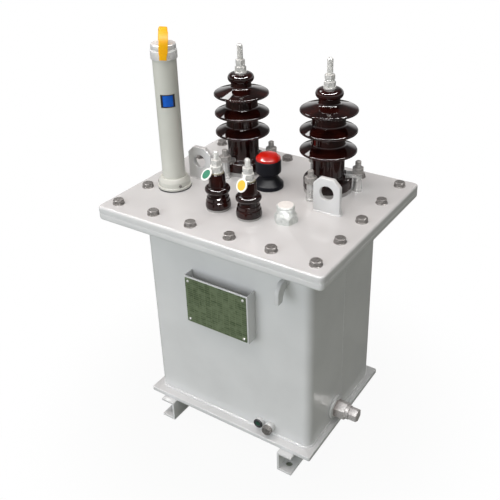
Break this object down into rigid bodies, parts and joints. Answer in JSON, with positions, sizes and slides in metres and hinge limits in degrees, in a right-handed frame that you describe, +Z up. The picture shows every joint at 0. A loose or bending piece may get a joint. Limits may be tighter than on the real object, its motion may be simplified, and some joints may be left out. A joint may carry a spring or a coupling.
{
  "type": "oil-immersed transformer",
  "caption": "Small oil-immersed transformer: grey sheet steel tank on channel feet, bolted cover with brown porcelain bushings, relief valve, tall oil gauge, filler plug and lifting lugs.",
  "frame": {"origin": "Ground level at the middle of the four anchor holes", "axes": "+Z up, -Y out of the front wall with the nameplate bracket, +X out of the wall with the drain"},
  "size_m": [0.42, 0.344, 0.7151],
  "materials": {
    "tank_paint": "gloss light grey enamel",
    "seal_rubber": "matt oil-proof rubber",
    "grey_rubber": "matt grey oil-proof rubber",
    "brown_porcelain": "gloss brown glaze",
    "zinc_steel": "zinc plated steel",
    "black_casting": "satin black enamel on a casting",
    "red_plastic": "moulded gloss red",
    "gauge_paint": "satin warm grey enamel",
    "blue_window": "clear-faced blue window",
    "gauge_chrome": "polished chrome",
    "yellow_strap": "gloss yellow"
  },
  "bodies": {
    "root": {"base_plate": "tank_paint", "foot_left": "tank_paint", "foot_right": "tank_paint", "tank_wall": "tank_paint", "tank_flange": "tank_paint", "cover_gasket": "seal_rubber", "cover": "tank_paint", "lifting_lug_left": "tank_paint", "lifting_lug_right": "tank_paint", "rope_hook_front": "tank_paint", "rope_hook_rear": "tank_paint", "hv_gasket_left": "grey_rubber", "hv_gasket_right": "grey_rubber", "hv_bushing_left": "brown_porcelain", "hv_bushing_right": "brown_porcelain", "hv_terminal_left": "zinc_steel", "hv_terminal_right": "zinc_steel", "hv_clamps_left": "zinc_steel", "hv_clamps_right": "zinc_steel", "lv_gasket_left": "grey_rubber", "lv_gasket_right": "grey_rubber", "lv_bushing_left": "brown_porcelain", "lv_bushing_right": "brown_porcelain", "lv_terminal_left": "zinc_steel", "lv_terminal_right": "zinc_steel", "relief_valve_body": "black_casting", "relief_valve_cap": "red_plastic", "gauge_gasket": "seal_rubber", "gauge_collar": "gauge_paint", "gauge_tube": "gauge_paint", "gauge_window": "blue_window", "gauge_cap": "gauge_chrome", "gauge_strap": "yellow_strap", "filler_plug": "zinc_steel", "nameplate_bracket": "tank_paint", "earth_bosses": "tank_paint", "earth_cap": "seal_rubber", "drain_pad": "tank_paint", "drain_body": "zinc_steel", "drain_cap": "zinc_steel"}
  },
  "joints": []
}
